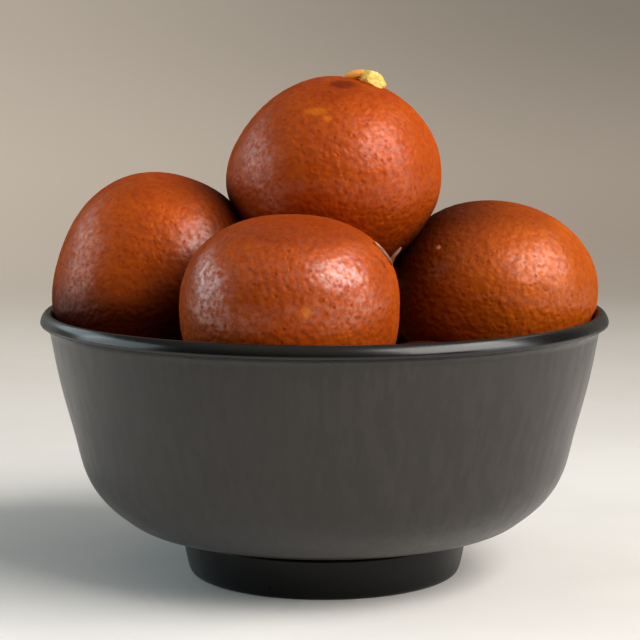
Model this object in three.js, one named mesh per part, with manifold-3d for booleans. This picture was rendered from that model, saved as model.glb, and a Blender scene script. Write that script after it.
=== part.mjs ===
// A dessert bowl of gulab jamun: fried milk dumplings heaped in a turned bowl with a bead lip
// and a round foot, one dumpling on top with a nut chunk on its crown.
// Millimetres, +Z up. The origin is the centre of the foot, on the plane that the bowl stands on.
// The front of the heap faces -Y.

import * as THREE from 'three';
import * as BufferGeometryUtils from 'three/addons/utils/BufferGeometryUtils.js';
import Module from 'manifold-3d';

const wasm = await Module();
wasm.setup();

// ---- Driving dimensions of the bowl ----
const RIM_RADIUS = 57.5; // outside of the bead lip
const BOWL_HEIGHT = 54.0;
const WALL_THICKNESS = 2.4;
const FOOT_RADIUS = 28.7; // at the top of the foot
const FOOT_BASE_RADIUS = 27.8;
const FOOT_HEIGHT = 8.9;
const FOOT_RING_WIDTH = 3.2;
const RECESS_DEPTH = 3.4; // hollow inside the foot ring
const FLOOR_HEIGHT = 11.0; // inside floor above the table
const BOWL_SEGMENTS = 64;

// Radius and height down the outside of the wall, from the foot up to the neck under the lip.
const WALL_STATIONS = [
  [29.0, 9.05],
  [37.6, 10.5],
  [42.0, 13.0],
  [46.2, 17.0],
  [49.0, 22.0],
  [51.1, 30.0],
  [53.7, 40.0],
  [55.6, 50.0],
];

// ---- Driving dimensions of the dumplings ----
const GAP = 0.3; // left between two pieces that lean on each other
const SOFTNESS = 0.3; // how gently a pressed side rounds over
const LUMP_HEIGHT = 0.16; // unevenness left by rolling in the palm

// centre: middle of the dumpling; radii: half width, depth and height before it is rolled over;
// roll: degrees about Y; fullness: 2 is round, more is squarer seen from the side; topSwell and
// sideSwell: how much wider the top is, and how much taller the right side is; phase: turns the
// lumps.
const DUMPLINGS = [
  {
    name: 'jamun_left', detail: 7, centre: [-34.0, -1.5, 59.9], radii: [20.3, 20.2, 21.7],
    roll: 18, fullness: 2.18, topSwell: 0, sideSwell: 0.011, phase: 0.4,
  },
  {
    name: 'jamun_front', detail: 7, centre: [-6.5, -33.2, 57.9], radii: [20.8, 20.2, 17.6],
    roll: 0, fullness: 2.26, topSwell: 0.03, sideSwell: 0.006, phase: 2.1,
  },
  {
    name: 'jamun_right', detail: 7, centre: [34.4, 1.0, 58.4], radii: [21.2, 20.4, 17.5],
    roll: 1.5, fullness: 1.97, topSwell: 0, sideSwell: -0.024, phase: 3.6,
  },
  {
    name: 'jamun_top', detail: 7, centre: [1.8, 0.5, 81.0], radii: [21.8, 21.3, 19.9],
    roll: -9.6, fullness: 1.86, topSwell: 0.013, sideSwell: 0.037, phase: 5.0,
  },
  {
    name: 'jamun_back', detail: 5, centre: [2.5, 34.3, 57.6], radii: [20.6, 19.8, 18.4],
    roll: 6, fullness: 2.1, topSwell: 0, sideSwell: 0, phase: 1.3,
  },
  {
    name: 'jamun_under_right_back', detail: 3, centre: [22.1, 19.0, 29.3],
    radii: [17.4, 17.4, 17.4], roll: 0, fullness: 2, topSwell: 0, sideSwell: 0, phase: 2.7,
  },
  {
    name: 'jamun_under_left_back', detail: 3, centre: [-20.3, 21.7, 30.0],
    radii: [18.0, 18.0, 18.0], roll: 0, fullness: 2, topSwell: 0, sideSwell: 0, phase: 4.2,
  },
  {
    name: 'jamun_under_left_front', detail: 3, centre: [-20.6, -19.0, 28.2],
    radii: [16.3, 16.3, 16.3], roll: 0, fullness: 2, topSwell: 0, sideSwell: 0, phase: 0.9,
  },
  {
    name: 'jamun_under_right_front', detail: 3, centre: [19.6, -21.2, 30.9],
    radii: [19.0, 19.0, 19.0], roll: 0, fullness: 2, topSwell: 0, sideSwell: 0, phase: 5.7,
  },
];

// ---- Driving dimensions of the nut pieces ----
const NUT_CHUNK = { centre: [10.0, -2.0, 100.3], radii: [2.75, 2.2, 2.1], tilt: 24 };
const NUT_SHAVING = { from: [3.2, -1.6, 100.9], to: [8.6, -1.6, 101.7], width: 2.4, depth: 1.3 };
const SHOULDER_SPLINTERS = [
  { from: [9.0, -38.9, 70.1], to: [12.6, -35.6, 66.4], width: 1.1, depth: 0.9 },
  { from: [11.4, -34.3, 66.0], to: [14.7, -33.4, 70.0], width: 1.1, depth: 0.8 },
];

// ---- Materials ----
const MATERIALS = {
  bowl: new THREE.MeshStandardMaterial({ color: 0x3a322e, roughness: 0.45, metalness: 0 }),
  jamun: new THREE.MeshStandardMaterial({ color: 0x9c3f12, roughness: 0.35, metalness: 0 }),
};

// ---- The bowl's section ----

// Points along the outside of the wall, and the same points moved in by the wall thickness.
function wallPoints(offset, count) {
  const curve = new THREE.SplineCurve(WALL_STATIONS.map(([r, z]) => new THREE.Vector2(r, z)));
  const points = [];
  for (let i = 0; i <= count; i += 1) {
    const along = curve.getPoint(i / count);
    const tangent = curve.getTangent(i / count);
    points.push([along.x - tangent.y * offset, along.y + tangent.x * offset]);
  }
  return points;
}

function lipPoints() {
  const r = RIM_RADIUS;
  const h = BOWL_HEIGHT;
  return [
    [r - 1.45, h - 3.0],
    [r - 0.5, h - 2.05],
    [r - 0.08, h - 1.35],
    [r, h - 0.9],
    [r - 0.18, h - 0.4],
    [r - 0.65, h - 0.08],
    [r - 1.2, h],
    [r - 1.8, h - 0.12],
    [r - 2.35, h - 0.55],
    [r - 2.8, h - 1.3],
    [r - 3.3, h - 2.5],
  ];
}

function footPoints() {
  const innerBase = FOOT_BASE_RADIUS - FOOT_RING_WIDTH;
  return [
    [0, RECESS_DEPTH],
    [innerBase - 0.8, RECESS_DEPTH],
    [innerBase - 0.2, 0.5],
    [innerBase + 0.3, 0],
    [FOOT_BASE_RADIUS - 0.6, 0],
    [FOOT_BASE_RADIUS, 0.6],
    [FOOT_RADIUS - 0.1, FOOT_HEIGHT - 1.0],
    [FOOT_RADIUS - 0.25, FOOT_HEIGHT - 0.55],
    [FOOT_RADIUS - 0.7, FOOT_HEIGHT - 0.25],
    [FOOT_RADIUS - 0.2, FOOT_HEIGHT],
  ];
}

const INSIDE_WALL = wallPoints(WALL_THICKNESS, 9).filter(([r, z]) => z > FLOOR_HEIGHT + 1);

// The inside from the lip down to the middle of the floor.
function insidePoints() {
  const [lowestRadius] = INSIDE_WALL[0];
  return [
    ...INSIDE_WALL.slice().reverse(),
    [lowestRadius - 5, FLOOR_HEIGHT + 0.25],
    [lowestRadius * 0.5, FLOOR_HEIGHT],
    [0, FLOOR_HEIGHT],
  ];
}

function bowlGeometry() {
  const profile = [...footPoints(), ...wallPoints(0, 11), ...lipPoints(), ...insidePoints()];
  const points = profile.map(([r, z]) => new THREE.Vector2(r, z));
  const geometry = new THREE.LatheGeometry(points, BOWL_SEGMENTS);
  geometry.rotateX(Math.PI / 2); // the lathe turns about Y, the bowl about Z
  return geometry;
}

// The bowl's inside radius at a height; above the lip it opens out freely.
function insideRadius(z) {
  const lip = lipPoints();
  const top = lip[6];
  if (z >= top[1]) return top[0] + 2 * (z - top[1]);
  const stations = [...INSIDE_WALL, ...lip.slice(6).reverse()];
  for (let i = 1; i < stations.length; i += 1) {
    const [r0, z0] = stations[i - 1];
    const [r1, z1] = stations[i];
    if (z <= z1) return r0 + ((r1 - r0) * Math.max(z - z0, 0)) / (z1 - z0);
  }
  return top[0];
}

// ---- A dumpling's surface ----

function roundedOver(value, limit) {
  return -SOFTNESS * Math.log(Math.exp(-value / SOFTNESS) + Math.exp(-limit / SOFTNESS));
}

function lump(u, phase) {
  const broad = Math.cos(4.2 * u.x + 2.9 * u.z + phase) * Math.cos(3.7 * u.y - 2.1 * u.z + 1.7 * phase);
  const small = Math.cos(5.2 * u.x + 8.6 * u.y + 2.3 * phase);
  return LUMP_HEIGHT * (broad + 0.4 * small);
}

// The point that the unit direction u reaches, measured from the dumpling's middle.
function rolledPoint(ball, u) {
  const [a, b, c] = ball.radii;
  const e = ball.fullness;
  const k = (Math.hypot(u.x, u.y) ** e + Math.abs(u.z) ** e) ** (-1 / e);
  const x = a * k * u.x;
  const y = b * k * u.y;
  const z = c * k * u.z;
  const widen = 1 + (ball.topSwell * z) / c;
  const raise = 1 + (ball.sideSwell * x) / a;
  const p = new THREE.Vector3(x * widen, y * widen, z * raise);
  p.addScaledVector(u, lump(u, ball.phase));
  return p.applyAxisAngle(new THREE.Vector3(0, 1, 0), THREE.MathUtils.degToRad(ball.roll));
}

function sphereDirections(detail) {
  const sphere = new THREE.IcosahedronGeometry(1, detail);
  sphere.deleteAttribute('normal');
  sphere.deleteAttribute('uv');
  return BufferGeometryUtils.mergeVertices(sphere, 1e-5);
}

function reach(points, direction) {
  return Math.max(...points.map((p) => p.dot(direction)));
}

// Where two dumplings lean on each other both are flattened, half of the overlap each.
function contactPlanes(balls, points) {
  const planes = balls.map(() => []);
  balls.forEach((first, i) => {
    balls.slice(0, i).forEach((second, j) => {
      const direction = second.middle.clone().sub(first.middle);
      const distance = direction.length();
      direction.normalize();
      const reachFirst = reach(points[i], direction);
      const reachSecond = reach(points[j], direction.clone().negate());
      const press = (reachFirst + reachSecond + GAP - distance) / 2;
      if (press > 0) {
        planes[i].push({ direction, limit: reachFirst - press });
        planes[j].push({ direction: direction.clone().negate(), limit: reachSecond - press });
      }
    });
  });
  return planes;
}

function pressed(ball, p, planes) {
  planes.forEach(({ direction, limit }) => {
    const along = p.dot(direction);
    p.addScaledVector(direction, roundedOver(along, limit) - along);
  });
  const world = p.clone().add(ball.middle);
  const radius = Math.hypot(world.x, world.y);
  const scale = roundedOver(radius, insideRadius(world.z) - GAP) / radius;
  p.x = world.x * scale - ball.middle.x;
  p.y = world.y * scale - ball.middle.y;
  return p;
}

// ---- Nut pieces ----

function nutChunk({ centre, radii, tilt }) {
  const geometry = sphereDirections(1);
  const position = geometry.attributes.position;
  const u = new THREE.Vector3();
  for (let i = 0; i < position.count; i += 1) {
    u.fromBufferAttribute(position, i).normalize();
    const corner = 1 + 0.1 * Math.sin(5.1 * u.x + 3.3 * u.y + 1.1) + 0.08 * Math.cos(6.7 * u.z + 2.3 * u.x);
    u.multiplyScalar(corner);
    position.setXYZ(i, u.x, u.y, u.z);
  }
  geometry.scale(...radii);
  geometry.rotateY(THREE.MathUtils.degToRad(tilt));
  geometry.translate(...centre);
  return geometry;
}

function splinter({ from, to, width, depth }) {
  const start = new THREE.Vector3(...from);
  const end = new THREE.Vector3(...to);
  const axis = end.clone().sub(start);
  const geometry = new THREE.SphereGeometry(1, 6, 6);
  geometry.scale(width / 2, axis.length() / 2, depth / 2);
  const turn = new THREE.Quaternion().setFromUnitVectors(new THREE.Vector3(0, 1, 0), axis.normalize());
  geometry.applyQuaternion(turn);
  const middle = start.add(end).multiplyScalar(0.5);
  geometry.translate(middle.x, middle.y, middle.z);
  return geometry;
}

// ---- Joining ----

function solidOf(geometry) {
  const bare = geometry.clone();
  bare.deleteAttribute('normal');
  bare.deleteAttribute('uv');
  const merged = BufferGeometryUtils.mergeVertices(bare, 1e-5);
  return new wasm.Manifold(new wasm.Mesh({
    numProp: 3,
    vertProperties: new Float32Array(merged.attributes.position.array),
    triVerts: new Uint32Array(merged.index.array),
  }));
}

function joined(base, extras) {
  const mesh = extras.reduce((solid, extra) => solid.add(solidOf(extra)), solidOf(base)).getMesh();
  const geometry = new THREE.BufferGeometry();
  geometry.setAttribute('position', new THREE.BufferAttribute(mesh.vertProperties, 3));
  geometry.setIndex(new THREE.BufferAttribute(mesh.triVerts, 1));
  return geometry;
}

const TOPPINGS = {
  jamun_top: [nutChunk(NUT_CHUNK), splinter(NUT_SHAVING)],
  jamun_front: SHOULDER_SPLINTERS.map(splinter),
};

// ---- The bowl and its heap ----

const dish = new THREE.Group();

const bowl = new THREE.Mesh(bowlGeometry(), MATERIALS.bowl);
bowl.name = 'bowl';
dish.add(bowl);

const balls = DUMPLINGS.map((ball) => ({ ...ball, middle: new THREE.Vector3(...ball.centre) }));
const surfaces = balls.map((ball) => sphereDirections(ball.detail));
const rolled = balls.map((ball, i) => {
  const { position } = surfaces[i].attributes;
  return Array.from({ length: position.count }, (_, k) => {
    const u = new THREE.Vector3().fromBufferAttribute(position, k).normalize();
    return rolledPoint(ball, u);
  });
});
const planes = contactPlanes(balls, rolled);

balls.forEach((ball, i) => {
  const { position } = surfaces[i].attributes;
  rolled[i].forEach((p, k) => {
    pressed(ball, p, planes[i]);
    position.setXYZ(k, p.x, p.y, p.z);
  });
  const toppings = (TOPPINGS[ball.name] ?? []).map((topping) => {
    return topping.translate(-ball.middle.x, -ball.middle.y, -ball.middle.z);
  });
  const geometry = toppings.length > 0 ? joined(surfaces[i], toppings) : surfaces[i];
  geometry.computeVertexNormals();
  const mesh = new THREE.Mesh(geometry, MATERIALS.jamun);
  mesh.name = ball.name;
  mesh.position.copy(ball.middle);
  dish.add(mesh);
});

export default dish;
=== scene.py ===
"""A bowl of gulab jamun: syrup-soaked fried dumplings heaped in a dark satin bowl.

Sizes are in millimetres and become metres where meshes and materials are made. Scales of
noise are in features per metre, and depths of relief are in metres.
"""

import math
from itertools import product

import bmesh
import bpy
import numpy as np
from bpy.props import FloatProperty, FloatVectorProperty, IntProperty, PointerProperty
from mathutils import Matrix, Vector


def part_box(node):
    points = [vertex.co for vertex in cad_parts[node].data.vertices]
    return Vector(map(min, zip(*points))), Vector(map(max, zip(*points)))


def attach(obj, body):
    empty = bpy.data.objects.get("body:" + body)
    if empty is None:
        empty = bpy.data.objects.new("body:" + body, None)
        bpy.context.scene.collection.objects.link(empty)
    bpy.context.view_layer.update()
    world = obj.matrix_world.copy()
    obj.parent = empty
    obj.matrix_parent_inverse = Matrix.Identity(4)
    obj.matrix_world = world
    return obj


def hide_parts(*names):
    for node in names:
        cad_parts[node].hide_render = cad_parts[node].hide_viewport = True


bl_info = {
    "name": "Gulab jamun bowl",
    "version": (1, 0, 0),
    "blender": (4, 5, 0),
    "location": "View3D > Sidebar > Gulab jamun",
    "description": "Dresses a bowl of fried milk dumplings with skin, syrup gloss and satin finish",
    "category": "Add Mesh",
}

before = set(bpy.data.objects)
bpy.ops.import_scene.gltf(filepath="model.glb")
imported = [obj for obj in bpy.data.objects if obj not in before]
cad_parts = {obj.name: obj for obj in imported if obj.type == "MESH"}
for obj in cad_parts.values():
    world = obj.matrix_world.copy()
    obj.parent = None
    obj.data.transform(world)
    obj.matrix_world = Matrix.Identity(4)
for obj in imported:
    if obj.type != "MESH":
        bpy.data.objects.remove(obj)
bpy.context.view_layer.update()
MM = 0.001
BOWL_HIGH = Vector(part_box("bowl")[1]) / MM


# ---- Settings ----

COLOUR = {"subtype": "COLOR", "size": 3, "min": 0, "max": 1}


class BowlSettings(bpy.types.PropertyGroup):
    """Sizes and finish of the bowl."""

    rim_radius: FloatProperty(
        name="Rim radius", description="Outside radius of the bead lip, in millimetres",
        default=round(BOWL_HIGH.x, 3), min=20, max=200)
    height: FloatProperty(
        name="Height", description="Height of the bowl, in millimetres",
        default=round(BOWL_HIGH.z, 3), min=10, max=200)
    wall_thickness: FloatProperty(
        name="Wall thickness", description="Thickness of the wall, in millimetres",
        default=2.4, min=1, max=8)
    foot_radius: FloatProperty(
        name="Foot radius", description="Radius at the top of the foot, in millimetres",
        default=28.7, min=10, max=60)
    foot_base_radius: FloatProperty(
        name="Foot base radius", description="Radius of the foot on the table, in millimetres",
        default=27.8, min=10, max=60)
    foot_height: FloatProperty(
        name="Foot height", description="Height of the foot, in millimetres",
        default=8.9, min=1, max=40)
    segments: IntProperty(
        name="Segments", description="Steps round the bowl", default=288, min=32, max=512)
    wall_colour: FloatVectorProperty(
        name="Wall colour", description="Main colour of the satin wall",
        default=(0.018, 0.0128, 0.0094), **COLOUR)
    streak_colour: FloatVectorProperty(
        name="Streak colour", description="Paler colour of the faint upright streaks",
        default=(0.037, 0.028, 0.0222), **COLOUR)
    lip_colour: FloatVectorProperty(
        name="Lip colour", description="Colour of the glossy lip",
        default=(0.006, 0.006, 0.006), **COLOUR)
    foot_colour: FloatVectorProperty(
        name="Foot colour", description="Colour of the foot",
        default=(0.007, 0.007, 0.007), **COLOUR)


class DumplingSettings(bpy.types.PropertyGroup):
    """Colour and skin of the dumplings."""

    mid_colour: FloatVectorProperty(
        name="Skin colour", description="Main red-brown of the fried skin",
        default=(0.43, 0.066, 0.002), **COLOUR)
    dark_colour: FloatVectorProperty(
        name="Pit colour", description="Darker brown of creases and pits",
        default=(0.27, 0.026, 0.0006), **COLOUR)
    light_colour: FloatVectorProperty(
        name="Crest colour", description="Lighter orange of the raised grain",
        default=(0.52, 0.098, 0.004), **COLOUR)
    wrinkle_height: FloatProperty(
        name="Wrinkle height", description="Height of the modelled wrinkles, in millimetres",
        default=0.055, min=0, max=1)
    wrinkle_size: FloatProperty(
        name="Wrinkle size", description="Width of the modelled wrinkles, in millimetres",
        default=1.4, min=0.5, max=6)
    grain_size: FloatProperty(
        name="Grain size", description="Width of the fine grain of the skin, in millimetres",
        default=1.15, min=0.2, max=4)


class NutSettings(bpy.types.PropertyGroup):
    """Colours of the nut pieces."""

    flesh_colour: FloatVectorProperty(
        name="Flesh colour", description="Pale yellow of the broken nut",
        default=(0.98, 0.68, 0.12), **COLOUR)
    # Painted shade: this orange lies on the sides of the chunk and the shaving away from the light;
    # it also tints their crumbs.
    shade_and_crumb_colour: FloatVectorProperty(
        name="Edge colour", description="Orange of its syrup-stained edges",
        default=(0.8, 0.3, 0.02), **COLOUR)
    shaving_colour: FloatVectorProperty(
        name="Shaving colour", description="Pale orange of the thin shaving",
        default=(0.85, 0.36, 0.09), **COLOUR)
    splinter_colour: FloatVectorProperty(
        name="Splinter colour", description="Brown of the thin splinters",
        default=(0.22, 0.075, 0.025), **COLOUR)
    splinter_tip_colour: FloatVectorProperty(
        name="Splinter tip colour", description="Paler brown of their dry upper end",
        default=(0.42, 0.17, 0.06), **COLOUR)


class StageSettings(bpy.types.PropertyGroup):
    """Floor, backdrop and light."""

    floor_colour: FloatVectorProperty(
        name="Floor colour", description="Pale colour of the floor",
        default=(0.97, 0.945, 0.91), **COLOUR)
    wall_colour: FloatVectorProperty(
        name="Backdrop colour", description="Warm grey of the backdrop",
        default=(0.62, 0.53, 0.44), **COLOUR)
    key_power: FloatProperty(
        name="Key light", description="Power of the soft light at the front right",
        subtype="POWER", default=32.5, min=0)
    side_power: FloatProperty(
        name="Side light", description="Power of the soft light on the left",
        subtype="POWER", default=2.65, min=0)
    fill_strength: FloatProperty(
        name="Fill", description="Strength of the wide soft light from the upper front",
        default=0.38, min=0)


# ---- Meshes ----


def placed_object(name, data):
    """A new object in the scene, in place of an earlier one of the same name."""
    old = bpy.data.objects.get(name)
    if old is not None:
        bpy.data.objects.remove(old, do_unlink=True)
    thing = bpy.data.objects.new(name, data)
    bpy.context.scene.collection.objects.link(thing)
    return thing


def new_object(name, points, faces, materials, slots=None):
    """A smooth mesh object from points in millimetres."""
    mesh = bpy.data.meshes.new(name)
    mesh.from_pydata((np.asarray(points) * MM).tolist(), [], faces)
    for material in materials:
        mesh.materials.append(material)
    if slots is not None:
        mesh.polygons.foreach_set("material_index", np.asarray(slots, dtype=np.int32))
    mesh.shade_smooth()
    mesh.update()
    return placed_object(name, mesh)


def sphere_directions(level):
    """Evenly spread unit directions and the triangles that join them."""
    ball = bmesh.new()
    bmesh.ops.create_icosphere(ball, subdivisions=level, radius=1.0)
    points = np.array([v.co[:] for v in ball.verts])
    faces = [[v.index for v in face.verts] for face in ball.faces]
    ball.free()
    return points / np.linalg.norm(points, axis=1)[:, None], faces


# Whole numbers that scramble a lattice cell into three slopes.
CELL_PRIMES = np.array([73856093, 19349663, 83492791])
SEED_PRIME = 2654435761
MIX_PRIME = 1274126177
SLOPE_TURNS = (12989, 78233, 37719)
LOW_BITS = 0xFFFF
NOISE_GAIN = 1.5
TINY = 1e-9


def lattice_noise(points, seed):
    """Smooth gradient noise from about -1 to 1 at each of the points."""
    cell = np.floor(points).astype(np.int64)
    inside = points - cell
    fade = inside ** 3 * (inside * (inside * 6 - 15) + 10)
    total = np.zeros(len(points))
    for corner in product((0, 1), repeat=3):
        corner = np.array(corner)
        key = (cell + corner) @ CELL_PRIMES + seed * SEED_PRIME
        slopes = []
        for turn in SLOPE_TURNS:
            mixed = (key ^ (key >> 13)) * MIX_PRIME + turn
            mixed = (mixed ^ (mixed >> 16)) & LOW_BITS
            slopes.append(mixed / (LOW_BITS / 2) - 1.0)
        slope = np.stack(slopes, axis=1)
        slope /= np.linalg.norm(slope, axis=1)[:, None] + TINY
        weight = np.prod(np.where(corner, fade, 1 - fade), axis=1)
        total += weight * np.sum(slope * (inside - corner), axis=1)
    return total * NOISE_GAIN


# ---- The bowl ----


def bowl_settings():
    return bpy.context.scene.jamun_bowl


# Outside of the wall: radius and height.
WALL_STATIONS = [
    (29.0, 9.05), (37.6, 10.5), (42.0, 13.0), (46.2, 17.0),
    (49.0, 22.0), (51.1, 30.0), (53.7, 40.0), (55.6, 50.0),
]
# Bead lip, from the outside over the crest to the inside: in from the rim, down from the top.
LIP_STATIONS = [
    (1.2, 3.15), (0.55, 2.7), (0.12, 2.4), (0.0, 2.0), (0.16, 1.35), (0.48, 0.7),
    (0.95, 0.16), (1.4, 0.0), (1.95, 0.12), (2.45, 0.55), (2.85, 1.3), (3.3, 2.5),
]
LIP_CREST = 7
FOOT_RING_WIDTH = 3.2
RECESS_DEPTH = 3.4
# Foot ring: out from its inner edge, height.
RING_STATIONS = [(-0.8, RECESS_DEPTH), (-0.5, RECESS_DEPTH - 0.2), (-0.2, 0.5), (0.0, 0.12),
                 (0.3, 0.0)]
# Flank of the foot: out from the base and height, then out from the neck and height.
BASE_STATIONS = [(-0.9, 0.0), (-0.35, 0.35), (0.1, 1.2), (0.55, 3.0)]
WAIST_STATIONS = [(0.1, 5.5)]
# Top of the flank, and the crevice under the wall: out from the neck, down from its top.
NECK_STATIONS = [(0.4, 1.4), (0.38, 0.9), (0.1, 0.6)]
CREVICE_STATIONS = [(-0.3, 0.45), (-0.5, 0.2), (-0.2, 0.0)]
FLOOR_HEIGHT = 11.0
FLOOR_CORNER = (5, 0.25)  # in from the wall, up from the floor
WALL_START = 1  # the inside wall starts this far above the floor

RECESS_STEPS, FLANK_STEPS, WALL_STEPS, LIP_STEPS, INSIDE_STEPS, FLOOR_STEPS = 8, 28, 84, 66, 60, 24
GLOSS_FROM, GLOSS_TO = 8, 46  # steps of the lip that are glossy
FLOOR_FROM = 7  # the steps of the floor's curve before this one repeat the wall
ROUGH_STEPS = 9  # enough to rest the dumplings against the wall
FLARE = 2  # how fast the free space opens out above the lip
ON_AXIS = 1e-6
WALL, LIP, FOOT = range(3)


def curve_point(stations, t):
    """A point of a smooth curve through the stations; t runs from 0 to 1."""
    last = len(stations) - 1
    place = t * last
    start = min(int(place), last - 1)
    w = place - start
    before, here, there, after = (
        np.array(stations[min(max(start + k, 0), last)], dtype=float) for k in (-1, 0, 1, 2))
    leave = (there - before) * 0.5
    arrive = (after - here) * 0.5
    return ((2 * here - 2 * there + leave + arrive) * w ** 3
            + (-3 * here + 3 * there - 2 * leave - arrive) * w ** 2 + leave * w + here)


def curve_points(stations, count):
    """Evenly spaced points of the curve, with both ends."""
    return [tuple(curve_point(stations, i / count)) for i in range(count + 1)]


def wall_points(offset, count):
    """The outside of the wall, moved in by the offset."""
    points = np.array(curve_points(WALL_STATIONS, count))
    along = np.gradient(points, axis=0)
    along /= np.linalg.norm(along, axis=1)[:, None]
    return [(r - dz * offset, z + dr * offset) for (r, z), (dr, dz) in zip(points, along)]


def lip_stations(settings):
    """Radius and height of the lip's stations."""
    return [(settings.rim_radius - inward, settings.height - down) for inward, down in LIP_STATIONS]


def foot_points(settings):
    """The recess, the ring that stands on the table and the crevice under the wall."""
    base, neck, top = settings.foot_base_radius, settings.foot_radius, settings.foot_height
    inner = base - FOOT_RING_WIDTH
    ring = [(inner + out, z) for out, z in RING_STATIONS]
    flank = [(base + out, z) for out, z in BASE_STATIONS]
    flank += [(neck + out, z) for out, z in WAIST_STATIONS]
    flank += [(neck + out, top - down) for out, down in NECK_STATIONS]
    crevice = [(neck + out, top - down) for out, down in CREVICE_STATIONS]
    recess = [(r, RECESS_DEPTH) for r in np.linspace(0, ring[0][0], RECESS_STEPS)[:-1]]
    return recess + ring + curve_points(flank, FLANK_STEPS) + crevice


def inside_wall(settings, count):
    """The inside of the wall, from just above the floor up."""
    return [(r, z) for r, z in wall_points(settings.wall_thickness, count)
            if z > FLOOR_HEIGHT + WALL_START]


def bowl_profile(settings):
    """Radius, height and finish of each ring of the bowl, from the recess to the inside."""
    foot = foot_points(settings)
    wall = wall_points(0.0, WALL_STEPS)
    lip = curve_points(lip_stations(settings), LIP_STEPS)
    inner = inside_wall(settings, INSIDE_STEPS)[::-1]
    lowest = inner[-1][0]
    corner = (lowest - FLOOR_CORNER[0], FLOOR_HEIGHT + FLOOR_CORNER[1])
    floor = curve_points([inner[-2], inner[-1], corner, (lowest * 0.5, FLOOR_HEIGHT),
                          (0.0, FLOOR_HEIGHT)], FLOOR_STEPS)[FLOOR_FROM:]
    runs = [(foot, FOOT), (wall, WALL), (lip[1:GLOSS_FROM], WALL), (lip[GLOSS_FROM:GLOSS_TO], LIP),
            (lip[GLOSS_TO:], FOOT), (inner + floor, WALL)]
    rings = [(r, z, finish) for run, finish in runs for r, z in run]
    return [(min(r, settings.rim_radius), min(max(z, 0.0), settings.height), finish)
            for r, z, finish in rings]


def turned_mesh(profile, segments):
    """Points, faces and finish of each face of a profile turned about Z."""
    turn = np.linspace(0, 2 * math.pi, segments, endpoint=False)
    points, starts = [], []
    for r, z, _ in profile:
        starts.append(len(points))
        if r < ON_AXIS:
            points.append((0.0, 0.0, z))
        else:
            points.extend((r * math.cos(a), r * math.sin(a), z) for a in turn)
    faces, finishes = [], []
    for k in range(len(profile) - 1):
        low, high = starts[k], starts[k + 1]
        low_is_point = profile[k][0] < ON_AXIS
        high_is_point = profile[k + 1][0] < ON_AXIS
        for i in range(segments):
            j = (i + 1) % segments
            if low_is_point:
                face = (low, high + j, high + i)
            elif high_is_point:
                face = (low + i, low + j, high)
            else:
                face = (low + i, low + j, high + j, high + i)
            faces.append(face)
            finishes.append(profile[k + 1][2])
    return points, faces, finishes


def inside_radius(z):
    """The bowl's inside radius at each height; above the lip it opens out freely."""
    settings = bowl_settings()
    lip = lip_stations(settings)[LIP_CREST:]
    radii, heights = np.array(inside_wall(settings, ROUGH_STEPS) + lip[::-1]).T
    above = z - settings.height
    return np.where(above >= 0, lip[0][0] + FLARE * above, np.interp(z, heights, radii))


# ---- The dumplings ----

WALL_GAP = 0.3
OVERLAP = 0.6  # so that no light passes between dumplings that touch
SOFTNESS = 0.3  # rounding at the edge of a flattened side
LUMP_HEIGHT = 0.16
SMALL_LUMPS = 0.4  # height of the small lumps against the broad ones
LOW_FULLNESS = 0.3  # more fullness below the middle, where a dumpling sags on to the bowl

# The upper ring, the top one and the lower layer. Each has its middle, radii, roll in
# degrees, fullness (2 is a plain ellipsoid), top swell, side swell and phase of the lumps.
DUMPLINGS = {
    "jamun_left": ((-34.0, -1.5, 59.9), (20.3, 20.2, 21.7), 18, 2.18, 0, 0.011, 0.4),
    "jamun_front": ((-6.5, -33.2, 57.9), (20.8, 20.2, 17.6), 0, 2.26, 0.03, 0.006, 2.1),
    "jamun_right": ((34.4, 1.0, 58.4), (21.2, 20.4, 17.5), 1.5, 1.97, 0, -0.024, 3.6),
    "jamun_top": ((1.8, 0.5, 81.0), (21.8, 21.3, 19.9), -9.6, 1.86, 0.013, 0.037, 5.0),
    "jamun_back": ((2.5, 34.3, 57.6), (20.6, 19.8, 18.4), 6, 2.1, 0, 0, 1.3),
    "jamun_under_right_back": ((22.1, 19.0, 29.3), (17.4, 17.4, 17.4), 0, 2, 0, 0, 2.7),
    "jamun_under_left_back": ((-20.3, 21.7, 30.0), (18.0, 18.0, 18.0), 0, 2, 0, 0, 4.2),
    "jamun_under_left_front": ((-20.6, -19.0, 28.2), (16.3, 16.3, 16.3), 0, 2, 0, 0, 0.9),
    "jamun_under_right_front": ((19.6, -21.2, 30.9), (19.0, 19.0, 19.0), 0, 2, 0, 0, 5.7),
}
UPPER = [name for name in DUMPLINGS if "under" not in name]
FINE_LEVEL = 7
UNDER_LEVEL = 6

# Wrinkles: sizes are in wrinkle widths, and heights in wrinkle heights.
WARP_SIZE, WARP_REACH = 2.5, 0.6
FINE_SIZE = 0.5
FOLD_SIZE = np.array([5.0, 5.0, 1.1])
FOLD_PATCH_SIZE, FOLD_PATCH_CONTRAST = 7, 3
COARSE_HEIGHT, FINE_HEIGHT, FOLD_DEPTH = 0.6, 0.6, 1.8
WARP_SEEDS = (11, 12, 13)
SEED_STEP = 100  # between one dumpling and the next


def rounded_over(value, limit, softness=SOFTNESS):
    """The smaller of the value and the limit, with a soft turn between them."""
    return -softness * np.logaddexp(-value / softness, -limit / softness)


def lump(u, phase):
    """The low unevenness of hand rolling, in the waves that the solids also have."""
    x, y, z = u.T
    broad = np.cos(4.2 * x + 2.9 * z + phase) * np.cos(3.7 * y - 2.1 * z + 1.7 * phase)
    small = np.cos(5.2 * x + 8.6 * y + 2.3 * phase)
    return LUMP_HEIGHT * (broad + SMALL_LUMPS * small)


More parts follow.
